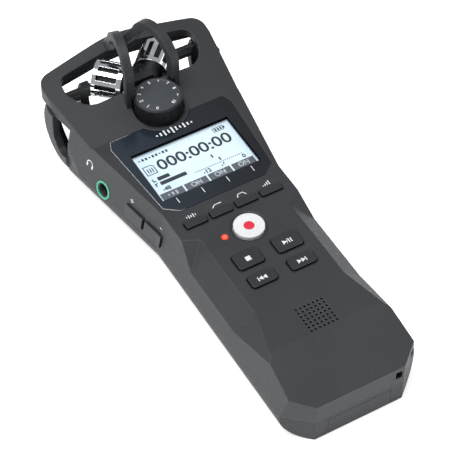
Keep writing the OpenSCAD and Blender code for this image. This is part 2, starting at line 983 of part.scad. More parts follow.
// Red dot set in the record key
module record_key_dot() {
    color("#f24a63")
        translate([0, record_y, body_h + key_proud - dot_t])
            cylinder(h = dot_t, r = dot_r, $fn = 48);
}

// One transport key
module transport_key(x, y, l) {
    color("#3a3f42")
        translate([x, y, 0])
            key_body(key_w, l, key_corner);
}

// Red record light
module rec_light() {
    color("#ff3a20")
        translate([light_x, record_y, board_top])
            cylinder(h = body_h - board_top, r = light_r, $fn = 32);
}

// Gain dial, bored for its shaft
module gain_dial() {
    color("#5c6165")
        translate([0, dial_y, well_floor + dial_lift])
            difference() {
                cylinder(h = body_h + dial_h - well_floor - dial_lift, r = dial_r, $fn = 96);
                translate([0, 0, -1])
                    cylinder(h = shaft_in_dial + 1, r = shaft_r, $fn = 48);
            }
}

// Shaft that joins the dial to its pot
module gain_pot_shaft() {
    color("silver")
        translate([0, dial_y, board_top + 0.7])
            cylinder(h = well_floor + dial_lift + shaft_in_dial - board_top - 0.7, r = shaft_r, $fn = 48);
}

// Pot under the dial, soldered to the main board
module gain_pot_body() {
    color("#22252a")
        translate([0, dial_y, 0])
            difference() {
                box([-pot_w / 2, -pot_w / 2, board_top], [pot_w / 2, pot_w / 2, pot_top]);
                translate([0, 0, board_top + 0.6])
                    cylinder(h = 4, r = shaft_r + shaft_fit, $fn = 48);
            }
}

// Speaker on the main board, below the grille
module speaker() {
    color("#202225")
        translate([0, speaker_y, board_top])
            difference() {
                pad(speaker_w, speaker_l, 0, inner_top - gasket_t - board_top, 1);
                translate([0, 0, inner_top - gasket_t - board_top - 0.5])
                    cylinder(h = 1, r = 3.6, $fn = 48);
            }
}

// Foam ring between the speaker and the case
module speaker_gasket() {
    color("#303030")
        translate([0, speaker_y, 0])
            difference() {
                pad(speaker_w - 2, speaker_l - 1.4, inner_top - gasket_t, inner_top - 0.05, 1);
                pad(speaker_w - 2 - 2 * gasket_rim, speaker_l - 1.4 - 1.4, inner_top - 1, inner_top + 1, 0.6);
            }
}

// An audio jack on the right: its body, its neck in the wall and its bore
module jack() {
    difference() {
        union() {
            box([jack_x - jack_l, jack_y - jack_w / 2, jack_z - jack_w / 2],
                [jack_x, jack_y + jack_w / 2, board_z]);
            intersection() {
                case_shape(ring_proud);
                at_side(jack_x - 1, jack_y, jack_z)
                    cylinder(h = 12, r = jack_neck_r, $fn = 64);
            }
        }
        at_side(head_x - jack_depth, jack_y, jack_z)
            cylinder(h = 30, r = jack_bore_r, $fn = 64);
    }
}

// The ring round a jack's mouth, following the wall
module jack_ring() {
    intersection() {
        difference() {
            case_shape(-ring_proud);
            case_shape(ring_l);
        }
        at_side(jack_x - 1, jack_y, jack_z)
            difference() {
                cylinder(h = 12, r = ring_r, $fn = 64);
                translate([0, 0, -1])
                    cylinder(h = 14, r = jack_neck_r, $fn = 64);
            }
    }
}

// Jack and ring for headphones, on the left
module phones_jack() {
    color("#1a1c1e")
        mirror([1, 0, 0])
            jack();
}
module phones_jack_ring() {
    color("#1fb892")
        mirror([1, 0, 0])
            jack_ring();
}

// Jack and ring for line input, on the right
module line_in_jack() {
    color("#1a1c1e")
        jack();
}
module line_in_jack_ring() {
    color("#3c78c8")
        jack_ring();
}

// Volume rocker: one long key with a notch in the middle, turning about its middle
module volume_rocker() {
    color("#3a3f42")
        difference() {
            union() {
                intersection() {
                    case_shape(-rocker_proud);
                    box([-half_w - 4, rocker_y - rocker_l / 2, rocker_z - rocker_w / 2],
                        [-rocker_foot_x, rocker_y + rocker_l / 2, rocker_z + rocker_w / 2]);
                }
                translate([0, rocker_y, rocker_z])
                    box([-rocker_foot_x, -rocker_l / 2 - 0.6, -rocker_w / 2 - 0.6],
                        [-rocker_foot_x + rocker_foot_t, rocker_l / 2 + 0.6, rocker_w / 2 + 0.6]);
                intersection() {
                    translate([-rocker_foot_x, rocker_y, rocker_z])
                        cylinder(h = rocker_w, r = rocker_pivot_r, center = true, $fn = 48);
                    box([-rocker_foot_x, rocker_y - rocker_l / 2, rocker_z - rocker_w],
                        [0, rocker_y + rocker_l / 2, rocker_z + rocker_w]);
                }
            }
            difference() {
                box([-half_w - 4, rocker_y - rocker_notch / 2, rocker_z - rocker_w],
                    [-rocker_foot_x - 1, rocker_y + rocker_notch / 2, rocker_z + rocker_w]);
                case_shape(0.4);
            }
        }
}

// The two switches that the rocker presses, and the board they stand on
module volume_switches() {
    color("#26292c") {
        box([-14.2, rocker_y - 8, rocker_z - 2.6], [-13.2, rocker_y + 8, board_z]);
        for (side = [-1, 1])
            box([-rocker_foot_x + rocker_foot_t + 0.5, rocker_y + side * 5 - 1.2, rocker_z - 1],
                [-14.2, rocker_y + side * 5 + 1.2, rocker_z + 1]);
    }
}

// Power and hold slider on the right
module power_slider() {
    color("#3a3f42")
        difference() {
            union() {
                intersection() {
                    case_shape(-slider_proud);
                    box([slider_foot_x, slider_y - slider_l / 2, slider_z - slider_w / 2],
                        [half_w + 5, slider_y + slider_l / 2, slider_z + slider_w / 2]);
                }
                box([slider_foot_x - 0.8, slider_y - slider_l / 2 - 2.2, slider_z - slider_w / 2 - 0.8],
                    [slider_foot_x, slider_y + slider_l / 2 + 2.2, slider_z + slider_w / 2 + 0.8]);
            }
            for (i = [-1:1])
                difference() {
                    box([slider_foot_x, slider_y + i * 1.3 - 0.2, slider_z - slider_w],
                        [half_w + 6, slider_y + i * 1.3 + 0.2, slider_z + slider_w]);
                    case_shape(-slider_proud / 2);
                }
        }
}

// Slide switch behind the slider
module power_switch() {
    color("#b8bcc0")
        box([slider_foot_x - 3.6, slider_y - 5, slider_z - 2], [slider_foot_x - 0.9, slider_y + 5, board_z]);
}

// Small round delete key on the right
module delete_key() {
    color("#3a3f42") {
        intersection() {
            case_shape(-0.5);
            at_side(delete_foot_x, delete_y, delete_z)
                cylinder(h = 8, r = delete_r, $fn = 48);
        }
        at_side(delete_foot_x - 0.8, delete_y, delete_z)
            cylinder(h = 0.8, r = delete_r + 0.7, $fn = 48);
    }
}

// Switch behind the delete key
module delete_switch() {
    color("#b8bcc0")
        box([bay_x + bay_wall + 0.2, delete_y - 2, delete_z - 2],
            [delete_foot_x - 0.8 - delete_travel - stem_clear, delete_y + 2, board_z]);
}

// USB socket: a thin shell with a tongue inside
module usb_socket() {
    color("#c8ccd0") {
        difference() {
            box([usb_out_x - usb_l, usb_y - usb_w / 2, usb_z - usb_h / 2],
                [usb_out_x, usb_y + usb_w / 2, usb_z + usb_h / 2]);
            box([usb_out_x - usb_l + 1, usb_y - usb_w / 2 + usb_shell, usb_z - usb_h / 2 + usb_shell],
                [usb_out_x + 1, usb_y + usb_w / 2 - usb_shell, usb_z + usb_h / 2 - usb_shell]);
        }
        box([usb_out_x - usb_l + 1, usb_y - 2.2, usb_z + 0.1], [usb_out_x - 0.8, usb_y + 2.2, usb_z + 0.7]);
        box([usb_out_x - usb_l, usb_y - 2.5, usb_z + usb_h / 2 - usb_shell],
            [usb_out_x - 3.2, usb_y + 2.5, board_z]);
    }
}

// Memory card socket under the main board, with its slot facing the door
module card_socket() {
    color("#c8ccd0")
        difference() {
            box([card_in_x, card_y - card_door_l / 2, card_z - 0.9],
                [card_out_x, card_y + card_door_l / 2, board_z]);
            box([card_in_x + 1, card_y - card_slot_l / 2, card_z - card_t / 2],
                [card_out_x + 1, card_y + card_slot_l / 2, card_z + card_t / 2]);
        }
}

// Flap over the memory card, turning on a barrel along its lower edge
module card_door() {
    color("#3c3f42") {
        translate([0, card_y + card_door_l / 2, 0])
            rotate([90, 0, 0])
                linear_extrude(card_door_l)
                    polygon([
                        [side_x(door_pin_z), door_pin_z],
                        [side_x(door_top_z), door_top_z],
                        [side_x(door_top_z) - door_t, door_top_z],
                        [side_x(door_pin_z) - door_t, door_pin_z]
                    ]);
        translate([door_pin_x, card_y + card_door_l / 2, door_pin_z])
            rotate([90, 0, 0])
                cylinder(h = card_door_l, r = door_pin_r, $fn = 32);
    }
}

// Threaded insert in the back for a tripod screw
module tripod_insert() {
    color("#c9a85c")
        translate([0, tripod_y, 0])
            difference() {
                cylinder(h = tripod_len, r = tripod_insert_r, $fn = 64);
                translate([0, 0, -1])
                    cylinder(h = tripod_depth + 1, r = tripod_r, $fn = 64);
            }
}

// Puts its children at the right microphone, with their Z axis along it
module at_mic() {
    translate([mic_x, mic_y, mic_z])
        rotate([0, 0, -mic_angle])
            rotate([-90, 0, 0])
                children();
}

// Bracket on the bulkhead that carries both microphones on two short stubs
module mic_bracket() {
    color("#2a2c2f") {
        box([-bracket_w / 2, bulk_y, bracket_z], [bracket_w / 2, bulk_y + bracket_t, bracket_top]);
        box([-block_x, bulk_y, bracket_top - 4], [block_x, block_y1, bracket_top]);
        box([-block_x, block_y0, bracket_top - 4], [block_x, block_y1, mic_z + stub_r]);
        intersection() {
            both_sides()
                at_mic()
                    translate([0, 0, -mic_l / 2 - 4])
                        cylinder(h = 4, r = stub_r, $fn = 48);
            box([-far, block_y0, 0], [far, far, far]);
        }
    }
}

// Small board behind the bulkhead that the microphones' leads run to
module mic_board() {
    color("#1f5a3a")
        box([-8, board_y1 - 0.8, 3], [8, bulk_y - bulk_t, board_z - 0.2]);
}

// Bright housing of the right microphone: a tube with slots and a closed back
module mic_housing() {
    color("#d8dadc")
        at_mic()
            difference() {
                translate([0, 0, -mic_l / 2])
                    cylinder(h = mic_l, r = mic_r, $fn = 64);
                translate([0, 0, -mic_l / 2 + 1])
                    cylinder(h = mic_l, r = mic_r - mic_wall, $fn = 64);
                for (i = [0:mic_slots - 1])
                    rotate([0, 0, (i + 0.5) * 360 / mic_slots])
                        box([mic_r - 2, -mic_slot_w / 2, -mic_l / 2 + 1.4],
                            [mic_r + 1, mic_slot_w / 2, mic_l / 2 - 1.2]);
            }
}

// Microphone capsule inside the right housing
module mic_capsule() {
    color("#15171a")
        at_mic()
            translate([0, 0, -mic_l / 2 + 1])
                cylinder(h = capsule_l, r = mic_r - mic_wall - 0.4, $fn = 64);
}

// Mesh across the mouth of the right housing
module mic_mesh() {
    color("#3a3c40")
        at_mic()
            translate([0, 0, mic_l / 2 - mesh_t - 0.3])
                cylinder(h = mesh_t, r = mic_r - mic_wall, $fn = 64);
}

// One cell, standing on its flat end at z = 0
module cell() {
    cylinder(h = cell_l - 1, r = cell_r, $fn = 64);
    cylinder(h = cell_l, r = 1.9, $fn = 32);
}

// Puts its children in the bay on one side; the second cell lies the other way round
module in_bay(side) {
    bay_mid = (bay_y0 + bay_y1) / 2;
    translate([side * cell_x, bay_mid, cell_z])
        rotate([0, 0, side > 0 ? 180 : 0])
            rotate([-90, 0, 0])
                translate([0, 0, -cell_l / 2])
                    children();
}
module battery_left() {
    color("#2f6f4f")
        in_bay(-1)
            cell();
}
module battery_right() {
    color("#2f6f4f")
        in_bay(1)
            cell();
}

// Spring at the flat end of each cell, as a stack of three wire rings
module battery_springs() {
    ring_step = bay_end_gap / 3;
    wire_r = ring_step / 2 + mesh_gap;
    color("silver")
        for (side = [-1, 1])
            in_bay(side)
                for (i = [0:2])
                    translate([0, 0, -(i + 0.5) * ring_step])
                        rotate_extrude($fn = 48)
                            intersection() {
                                translate([2.4 + 0.3 * i, 0])
                                    circle(wire_r, $fn = 24);
                                translate([0, -ring_step / 2])
                                    square([9, ring_step]);
                            }
}

// Contact plate at the nub end of each cell
module battery_contacts() {
    color("silver")
        for (side = [-1, 1])
            in_bay(side)
                translate([0, 0, cell_l]) {
                    cylinder(h = bay_end_gap, r = 1.6, $fn = 32);
                    translate([-4, -4, bay_end_gap - 0.4])
                        cube([8, 8, 0.4]);
                }
}

// The four screws through the rear case
module case_screws() {
    color("#8a8e92")
        for (p = post_places)
            translate([p[0], p[1], screw_head_z - screw_head_h])
                difference() {
                    union() {
                        cylinder(h = screw_head_h, r = screw_head_r, $fn = 32);
                        cylinder(h = screw_l, r = screw_r, $fn = 32);
                    }
                    for (turn = [0, 90])
                        rotate([0, 0, turn])
                            box([-1, -0.2, -1], [1, 0.2, 0.6]);
                }
}

// The four screws that hold the main board to the front case
module board_screws() {
    color("#8a8e92")
        for (p = board_places)
            translate([p[0], p[1], board_z - board_head_h])
                difference() {
                    union() {
                        cylinder(h = board_head_h, r = board_head_r, $fn = 32);
                        cylinder(h = board_head_h + board_t + 2, r = board_screw_r, $fn = 32);
                    }
                    for (turn = [0, 90])
                        rotate([0, 0, turn])
                            box([-0.8, -0.15, -1], [0.8, 0.15, 0.4]);
                }
}

front_case();
rear_case();
battery_cover();
display_lens();
lcd_panel();
lcd_backlight();
main_board();
key_domes();
function_key(1);  // function_key_1
function_key(2);  // function_key_2
function_key(3);  // function_key_3
function_key(4);  // function_key_4
record_key();
record_key_dot();
transport_key(-key_x, play_y, key_l);  // stop_key
transport_key(key_x, play_y, key_l);  // play_key
transport_key(-key_x, skip_y, low_key_l);  // rewind_key
transport_key(key_x, skip_y, low_key_l);  // forward_key
rec_light();
gain_dial();
gain_pot_shaft();
gain_pot_body();
speaker();
speaker_gasket();
phones_jack();
phones_jack_ring();
line_in_jack();
line_in_jack_ring();
volume_rocker();
volume_switches();
power_slider();
power_switch();
delete_key();
delete_switch();
usb_socket();
card_socket();
card_door();
tripod_insert();
mic_bracket();
mic_board();
mirror([1, 0, 0]) mic_housing();  // mic_housing_left
mic_housing();  // mic_housing_right
mirror([1, 0, 0]) mic_capsule();  // mic_capsule_left
mic_capsule();  // mic_capsule_right
mirror([1, 0, 0]) mic_mesh();  // mic_mesh_left
mic_mesh();  // mic_mesh_right
battery_left();
battery_right();
battery_springs();
battery_contacts();
case_screws();
board_screws();
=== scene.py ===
import math

import bpy
from mathutils import Matrix, Vector


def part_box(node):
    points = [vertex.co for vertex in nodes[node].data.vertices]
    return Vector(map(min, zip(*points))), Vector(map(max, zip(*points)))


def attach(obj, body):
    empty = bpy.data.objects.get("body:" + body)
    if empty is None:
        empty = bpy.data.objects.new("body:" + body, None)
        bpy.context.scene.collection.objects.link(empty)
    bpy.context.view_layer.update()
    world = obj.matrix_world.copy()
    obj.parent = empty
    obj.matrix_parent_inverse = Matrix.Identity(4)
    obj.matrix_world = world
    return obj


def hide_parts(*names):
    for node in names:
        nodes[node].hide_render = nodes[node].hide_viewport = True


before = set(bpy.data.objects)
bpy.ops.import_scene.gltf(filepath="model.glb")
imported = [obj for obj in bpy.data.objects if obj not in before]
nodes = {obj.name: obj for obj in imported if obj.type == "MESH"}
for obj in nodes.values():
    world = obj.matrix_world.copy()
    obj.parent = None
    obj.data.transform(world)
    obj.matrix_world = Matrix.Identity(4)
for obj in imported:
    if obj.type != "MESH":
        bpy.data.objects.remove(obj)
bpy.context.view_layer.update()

mm = 0.001
# how far a key stands above the face of the case
keyStand = 0.45
darkKeys = (
    "function_key_1", "function_key_2", "function_key_3", "function_key_4",
    "stop_key", "play_key", "rewind_key", "forward_key",
)


def hexColor(text):
    parts = [int(text[i:i + 2], 16) / 255 for i in (1, 3, 5)]
    linear = [p / 12.92 if p <= 0.04045 else ((p + 0.055) / 1.055) ** 2.4 for p in parts]
    return (*linear, 1.0)


def addNode(tree, kind, inputs=None, **settings):
    node = tree.nodes.new(kind)
    for key, value in settings.items():
        setattr(node, key, value)
    for key, value in (inputs or {}).items():
        if isinstance(value, bpy.types.NodeSocket):
            tree.links.new(value, node.inputs[key])
        else:
            node.inputs[key].default_value = value
    return node


def newMaterial(name):
    material = bpy.data.materials.new(name)
    material.use_nodes = True
    tree = material.node_tree
    tree.nodes.clear()
    place = addNode(tree, "ShaderNodeTexCoord").outputs["Object"]
    return material, tree, place


def finishMaterial(tree, shader):
    addNode(tree, "ShaderNodeOutputMaterial", {"Surface": shader})


def blendColors(tree, factor, first, second):
    mix = addNode(tree, "ShaderNodeMix", data_type="RGBA")
    for socket, value in ((mix.inputs[0], factor), (mix.inputs[6], first), (mix.inputs[7], second)):
        if isinstance(value, bpy.types.NodeSocket):
            tree.links.new(value, socket)
        else:
            socket.default_value = value
    return mix.outputs[2]


def spread(tree, value, low, high, toLow=0.0, toHigh=1.0):
    return addNode(tree, "ShaderNodeMapRange", {
        "Value": value, "From Min": low, "From Max": high, "To Min": toLow, "To Max": toHigh,
    }).outputs["Result"]


def calc(tree, operation, first, second=0.0):
    node = addNode(tree, "ShaderNodeMath", {0: first, 1: second}, operation=operation)
    return node.outputs[0]


def perMetre(millimetres):
    return 1 / (millimetres * mm)


def clearSelection():
    if bpy.context.object and bpy.context.object.mode != "OBJECT":
        bpy.ops.object.mode_set(mode="OBJECT")
    bpy.ops.object.select_all(action="DESELECT")


def takeNew(name):
    piece = bpy.context.object
    piece.name = name
    piece.data.name = name
    return piece


def settle(piece):
    # the finished object sits at the origin with its place in its mesh
    clearSelection()
    piece.select_set(True)
    bpy.context.view_layer.objects.active = piece
    bpy.ops.object.transform_apply(location=True, rotation=True, scale=True)
    return piece


def dress(piece, material):
    piece.data.materials.clear()
    piece.data.materials.append(material)
    return piece


def pickFaces(piece, test):
    mesh = piece.data
    for edge in mesh.edges:
        edge.select = False
    for vertex in mesh.vertices:
        vertex.select = False
    for face in mesh.polygons:
        face.select = bool(test(face))


def editPiece(piece, test, *steps):
    clearSelection()
    piece.select_set(True)
    bpy.context.view_layer.objects.active = piece
    pickFaces(piece, test)
    bpy.ops.object.mode_set(mode="EDIT")
    bpy.ops.mesh.select_mode(type="FACE")
    for step in steps:
        step()
    bpy.ops.object.mode_set(mode="OBJECT")


def joinPieces(name, parts):
    clearSelection()
    for part in parts:
        part.select_set(True)
    bpy.context.view_layer.objects.active = parts[0]
    if len(parts) > 1:
        bpy.ops.object.join()
    piece = takeNew(name)
    return settle(piece)


def softEdges(tree, width):
    # rounds sharp moulded edges in the shading and finds where they are, for the painted edge highlight,
    # partly wear, laid along them
    rounded = addNode(tree, "ShaderNodeBevel", {"Radius": width * mm}, samples=8).outputs["Normal"]
    flat = addNode(tree, "ShaderNodeNewGeometry").outputs["Normal"]
    bend = addNode(tree, "ShaderNodeVectorMath", {0: rounded, 1: flat}, operation="DOT_PRODUCT")
    edge = spread(tree, bend.outputs["Value"], 0.995, 0.86)
    return rounded, edge


def mouldedPlastic(name, color, worn, grain, rough, edge, bump=0.12, coat=0.0):
    material, tree, place = newMaterial(name)
    cloud = addNode(tree, "ShaderNodeTexNoise", {"Vector": place, "Scale": perMetre(18), "Detail": 3.0})
    fine = addNode(tree, "ShaderNodeTexNoise", {"Vector": place, "Scale": perMetre(grain), "Detail": 2.0})
    rounded, edges = softEdges(tree, edge)
    tint = blendColors(tree, spread(tree, cloud.outputs["Fac"], 0.35, 0.65), hexColor(color), hexColor(worn))
    tint = blendColors(tree, calc(tree, "MULTIPLY", fine.outputs["Fac"], 0.22), tint, hexColor("#000000"))
    # painted edge highlight, partly wear: the edges are lightened towards a pale grey
    tint = blendColors(tree, calc(tree, "MULTIPLY", edges, 0.16), tint, hexColor("#7c8186"))
    gloss = spread(tree, fine.outputs["Fac"], 0.3, 0.7, rough - 0.05, rough + 0.07)
    relief = addNode(tree, "ShaderNodeBump", {
        "Height": fine.outputs["Fac"], "Distance": grain * mm * 0.2, "Strength": bump, "Normal": rounded,
    })
    shader = addNode(tree, "ShaderNodeBsdfPrincipled", {
        "Base Color": tint, "Roughness": gloss, "IOR": 1.53,
        "Coat Weight": coat, "Coat Roughness": 0.2, "Normal": relief.outputs["Normal"],
    })
    finishMaterial(tree, shader.outputs[0])
    return material


def bareMetal(name, color, tarnish, grain, rough, stretch=(1, 1, 1), edge=0.12, bump=0.05):
    material, tree, place = newMaterial(name)
    drawn = addNode(tree, "ShaderNodeMapping", {"Vector": place, "Scale": stretch})
    lines = addNode(tree, "ShaderNodeTexNoise", {
        "Vector": drawn.outputs[0], "Scale": perMetre(grain), "Detail": 3.0,
    })
    rounded, edges = softEdges(tree, edge)
    dull = spread(tree, lines.outputs["Fac"], 0.35, 0.7)
    tint = blendColors(tree, dull, hexColor(color), hexColor(tarnish))
    gloss = spread(tree, lines.outputs["Fac"], 0.3, 0.7, rough * 0.8, rough * 1.3)
    relief = addNode(tree, "ShaderNodeBump", {
        "Height": lines.outputs["Fac"], "Distance": grain * mm * 0.1, "Strength": bump, "Normal": rounded,
    })
    shader = addNode(tree, "ShaderNodeBsdfPrincipled", {
        "Base Color": tint, "Metallic": 1.0, "Roughness": gloss, "Normal": relief.outputs["Normal"],
    })
    finishMaterial(tree, shader.outputs[0])
    return material


# Spark-eroded ABS: a dry dark grey skin. The real grit is about 0.1 mm, drawn at 0.6 mm so that it shows.
frontAbs = mouldedPlastic("sparkErodedAbsFront", "#26292c", "#2c2f33", 0.6, 0.55, 0.45)
rearAbs = mouldedPlastic("sparkErodedAbsRear", "#202225", "#26282b", 0.6, 0.58, 0.4)
# Satin moulded ABS keys: smoother than the case and a little darker
keyAbs = mouldedPlastic("satinMouldedAbsKeys", "#1f2225", "#25282b", 0.5, 0.42, 0.22, bump=0.06)
# Glass-filled nylon of jacks, switches and the bracket: near black and dull
blackNylon = mouldedPlastic("glassFilledNylonBlack", "#131416", "#1a1b1e", 0.5, 0.6, 0.15)
# Soft-touch ribbed side of the dial: almost black
dialRubber = mouldedPlastic("softTouchDialSide", "#0b0b0e", "#131317", 0.4, 0.5, 0.1, bump=0.05)
dialCapAbs = mouldedPlastic("satinMouldedDialCap", "#3d4146", "#44494e", 0.5, 0.42, 0.2, bump=0.05)
# Polished two-shot ABS of the record key and the ring round each jack
recordAbs = mouldedPlastic("polishedAbsWhite", "#f1f2f2", "#e6e8e9", 1.2, 0.24, 0.35, bump=0.02, coat=0.3)
dotAbs = mouldedPlastic("polishedAbsRed", "#e8203c", "#f23a52", 0.8, 0.25, 0.1, bump=0.02, coat=0.3)
phonesRingAbs = mouldedPlastic("polishedAbsGreen", "#0fa37c", "#17b489", 0.8, 0.28, 0.15, bump=0.03, coat=0.3)
lineRingAbs = mouldedPlastic("polishedAbsBlue", "#2458a4", "#2c64b2", 0.8, 0.28, 0.15, bump=0.03, coat=0.3)
gasketFoam = mouldedPlastic("closedCellFoam", "#161616", "#1e1e1e", 0.4, 0.85, 0.1, bump=0.5)
diffuserAbs = mouldedPlastic("frostedDiffuserSheet", "#eef2f3", "#e4eaec", 1.5, 0.4, 0.1, bump=0.03)

# Chrome plating over polished brass barrels: hard bright reflections, a trace of haze
micChrome = bareMetal("polishedChromePlate", "#e9ebee", "#d4d8dd", 3.0, 0.07, edge=0.18, bump=0.02)
# Nickel-plated strip and spring wire, drawn along the part
nickelStrip = bareMetal("nickelPlatedStrip", "#c4c3bd", "#a9a79f", 0.5, 0.28, stretch=(1, 0.15, 1))
domeSteel = bareMetal("stampedDomeSteel", "#c9cacc", "#b1b3b6", 0.6, 0.25)
zincSteel = bareMetal("zincPlatedScrewSteel", "#84878b", "#6a6d72", 0.4, 0.38)
shieldSteel = bareMetal("tinPlatedShieldSteel", "#bfc2c6", "#a2a6ab", 0.5, 0.3, stretch=(1, 0.2, 1))
turnedSteel = bareMetal("turnedShaftSteel", "#b9bcc0", "#989ba0", 0.3, 0.3, stretch=(0.2, 0.2, 1))
turnedBrass = bareMetal("turnedBrass", "#c8a45a", "#a8853f", 0.4, 0.3, stretch=(0.2, 0.2, 1))


lensWindow = {"x": -0.25, "y": 17.85, "halfWidth": 15.15, "halfHeight": 9.25}


def lensAcrylic(s):
    # Cast acrylic window, printed dark on its back except over the display: glossy slate, clear in the middle
    material, tree, place = newMaterial("printedAcrylicWindow")
    axes = addNode(tree, "ShaderNodeSeparateXYZ", {"Vector": place})
    across = calc(tree, "ABSOLUTE", calc(tree, "SUBTRACT", axes.outputs["X"], s["x"] * mm))
    along = calc(tree, "ABSOLUTE", calc(tree, "SUBTRACT", axes.outputs["Y"], s["y"] * mm))
    inX = calc(tree, "LESS_THAN", across, s["halfWidth"] * mm)
    inY = calc(tree, "LESS_THAN", along, s["halfHeight"] * mm)
    up = addNode(tree, "ShaderNodeSeparateXYZ", {
        "Vector": addNode(tree, "ShaderNodeNewGeometry").outputs["Normal"],
    })
    level = calc(tree, "GREATER_THAN", calc(tree, "ABSOLUTE", up.outputs["Z"]), 0.5)
    window = calc(tree, "MULTIPLY", calc(tree, "MULTIPLY", inX, inY), level)
    haze = addNode(tree, "ShaderNodeTexNoise", {"Vector": place, "Scale": perMetre(9), "Detail": 2.0})
    # painted light: the dark print of the window is painted lighter towards its left end, where the light
    # falls, and darker to the right
    paintedLightFromLeft = spread(tree, axes.outputs["X"], -20 * mm, 17 * mm)
    tone = blendColors(tree, paintedLightFromLeft, hexColor("#232c36"), hexColor("#0d0f12"))
    tone = blendColors(tree, calc(tree, "MULTIPLY", haze.outputs["Fac"], 0.2), tone, hexColor("#2f3a45"))
    rounded, edges = softEdges(tree, 0.35)
    # painted highlight and painted shade: the edges are painted near white at the left, for the light the
    # polished left edge catches, and near black elsewhere, for the shade in the other edges' gap
    leftEdge = spread(tree, axes.outputs["X"], -14 * mm, -11 * mm, 1.0, 0.0)
    rim = blendColors(tree, leftEdge, hexColor("#050607"), hexColor("#dfe6ec"))
    tone = blendColors(tree, calc(tree, "MULTIPLY", edges, 0.9), tone, rim)
    gloss = spread(tree, haze.outputs["Fac"], 0.3, 0.7, 0.1, 0.16)
    printed = addNode(tree, "ShaderNodeBsdfPrincipled", {
        "Base Color": tone, "Roughness": gloss, "IOR": 1.49, "Normal": rounded,
        "Alpha": calc(tree, "SUBTRACT", 1.0, calc(tree, "MULTIPLY", window, 0.94)),
    })
    finishMaterial(tree, printed.outputs[0])
    return material


def lcdGlass():
    # Backlit transflective glass: an icy white field with a faint dot grid, 0.23 mm dots drawn at 0.46 mm
    material, tree, place = newMaterial("backlitDisplayGlass")
    axes = addNode(tree, "ShaderNodeSeparateXYZ", {"Vector": place})
    rows = []
    for axis in ("X", "Y"):
        wave = calc(tree, "SINE", calc(tree, "MULTIPLY", axes.outputs[axis], math.tau * perMetre(0.46)))
        rows.append(spread(tree, wave, 0.8, 1.0))
    grid = calc(tree, "MAXIMUM", *rows)
    glow = addNode(tree, "ShaderNodeTexNoise", {"Vector": place, "Scale": perMetre(25)})
    patchy = spread(tree, glow.outputs["Fac"], 0.3, 0.7)
    base = blendColors(tree, patchy, hexColor("#cfe6f5"), hexColor("#dceffa"))
    base = blendColors(tree, calc(tree, "MULTIPLY", grid, 0.12), base, hexColor("#9fb2bf"))
    inside = calc(tree, "MULTIPLY",
                  calc(tree, "LESS_THAN", calc(tree, "ABSOLUTE", axes.outputs["X"]), 14.9 * mm),
                  calc(tree, "LESS_THAN", axes.outputs["Y"], 27.5 * mm))
    base = blendColors(tree, inside, hexColor("#8b98a7"), base)
    shader = addNode(tree, "ShaderNodeBsdfPrincipled", {
        "Base Color": base, "Roughness": spread(tree, grid, 0.0, 1.0, 0.25, 0.35), "IOR": 1.5,
        "Emission Color": base, "Emission Strength": 0.4,
    })
    finishMaterial(tree, shader.outputs[0])
    return material


def lcdInk(name, color, glow):
    # A switched-on display segment: grey-blue, slightly uneven, lit a little by the panel behind it
    material, tree, place = newMaterial(name)
    cell = addNode(tree, "ShaderNodeTexNoise", {"Vector": place, "Scale": perMetre(0.5), "Detail": 1.0})
    base = blendColors(tree, cell.outputs["Fac"], hexColor(color), hexColor("#454c52"))
    shader = addNode(tree, "ShaderNodeBsdfPrincipled", {
        "Base Color": base, "Roughness": spread(tree, cell.outputs["Fac"], 0.3, 0.7, 0.35, 0.45),
        "Emission Color": base, "Emission Strength": glow,
    })
    finishMaterial(tree, shader.outputs[0])
    return material


def printInk(name, color):
    # Pad-printed ink: flat and slightly uneven at its edges
    material, tree, place = newMaterial(name)
    speck = addNode(tree, "ShaderNodeTexNoise", {"Vector": place, "Scale": perMetre(0.35), "Detail": 2.0})
    thin = spread(tree, speck.outputs["Fac"], 0.45, 0.75)
    base = blendColors(tree, thin, hexColor(color), hexColor("#aeb3b7"))
    shader = addNode(tree, "ShaderNodeBsdfPrincipled", {
        "Base Color": base, "Roughness": spread(tree, speck.outputs["Fac"], 0.3, 0.7, 0.45, 0.6),
    })
    finishMaterial(tree, shader.outputs[0])
    return material


def litLamp():
    # Diffused red light-emitting diode, lit: brightest in the middle of its dome
    material, tree, place = newMaterial("litRedLampLens")
    low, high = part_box("rec_light")
    middle = (low + high) / 2
    centred = addNode(tree, "ShaderNodeMapping", {
        "Vector": place, "Location": (-middle.x, -middle.y, -high.z),
    })
    reach = addNode(tree, "ShaderNodeVectorMath", {0: centred.outputs[0]}, operation="LENGTH")
    glow = spread(tree, reach.outputs["Value"], 0.0, 0.9 * mm, 1.0, 0.0)
    base = blendColors(tree, glow, hexColor("#d81608"), hexColor("#ff6a4a"))
    shader = addNode(tree, "ShaderNodeBsdfPrincipled", {
        "Base Color": base, "Roughness": spread(tree, glow, 0.0, 1.0, 0.3, 0.2), "IOR": 1.5,
        "Emission Color": base, "Emission Strength": 1.3,
    })
    finishMaterial(tree, shader.outputs[0])
    return material


